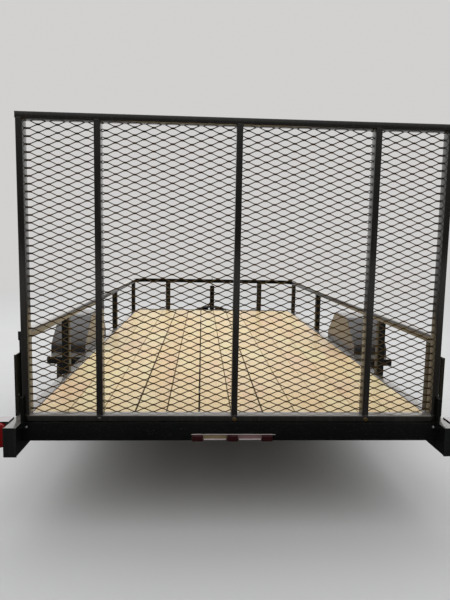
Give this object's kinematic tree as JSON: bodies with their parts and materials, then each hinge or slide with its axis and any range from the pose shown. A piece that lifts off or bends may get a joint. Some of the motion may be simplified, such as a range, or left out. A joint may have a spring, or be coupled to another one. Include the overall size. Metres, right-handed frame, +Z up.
{
  "type": "utility trailer",
  "caption": "Open utility trailer: plank deck in a steel frame, tube top rail, angular fenders, A-frame tongue with jack, and a mesh ramp gate at the rear.",
  "frame": {"origin": "on the ground, under the middle of the whole trailer", "axes": "+X to the right, +Y forward to the coupler, +Z up"},
  "size_m": [2.287, 5.0529, 1.691],
  "materials": {
    "black_paint": "worn, wet",
    "mesh_paint": "worn, rusty edges",
    "planks": "weathered pine",
    "tyre": "dusty",
    "rim_paint": "silver paint",
    "zinc_steel": "zinc plated, dull",
    "red_lens": "lens",
    "lamp_black": "moulded",
    "hub_iron": "cast, greasy"
  },
  "bodies": {
    "trailer": {"side_rail_right": "black_paint", "side_rail_left": "black_paint", "crossmember_rear": "black_paint", "crossmember_front": "black_paint", "crossmembers": "black_paint", "tube_caps": "black_paint", "deck_planks": "planks", "top_rail_right": "black_paint", "top_rail_left": "black_paint", "top_rail_front": "black_paint", "posts_right": "black_paint", "posts_left": "black_paint", "posts_front": "black_paint", "corner_plates": "black_paint", "fender_right": "black_paint", "fender_left": "black_paint", "fender_step_right": "black_paint", "fender_step_left": "black_paint", "axle_beam": "black_paint", "leaf_spring_right": "black_paint", "leaf_spring_left": "black_paint", "spring_hangers": "black_paint", "tongue_beam_right": "black_paint", "tongue_beam_left": "black_paint", "coupler": "zinc_steel", "coupler_latch": "zinc_steel", "jack_tube": "zinc_steel", "jack_leg": "zinc_steel", "jack_crank": "zinc_steel", "lamp_shells": "lamp_black", "lamp_lenses": "red_lens", "lamp_bar": "zinc_steel", "bar_lamps": "red_lens"},
    "gate": {"gate_rails": "black_paint", "gate_uprights": "black_paint", "gate_hinge_right": "black_paint", "gate_hinge_left": "black_paint", "gate_caps": "black_paint", "gate_mesh": "mesh_paint"},
    "wheel_right": {"tyre_right": "tyre", "rim_right": "rim_paint", "hub_right": "hub_iron"},
    "wheel_left": {"tyre_left": "tyre", "rim_left": "rim_paint", "hub_left": "hub_iron"}
  },
  "joints": [
    {"name": "gate_pivot", "type": "hinge", "parent": "trailer", "child": "gate", "pos_m": [0, -2.4805, 0.451], "axis": [1, 0, 0], "range_deg": [0, 111.5]},
    {"name": "wheel_right_spin", "type": "hinge", "parent": "trailer", "child": "wheel_right", "pos_m": [1.0415, -0.8015, 0.305], "axis": [1, 0, 0], "continuous": true},
    {"name": "wheel_left_spin", "type": "hinge", "parent": "trailer", "child": "wheel_left", "pos_m": [-1.0415, -0.8015, 0.305], "axis": [1, 0, 0], "continuous": true}
  ]
}
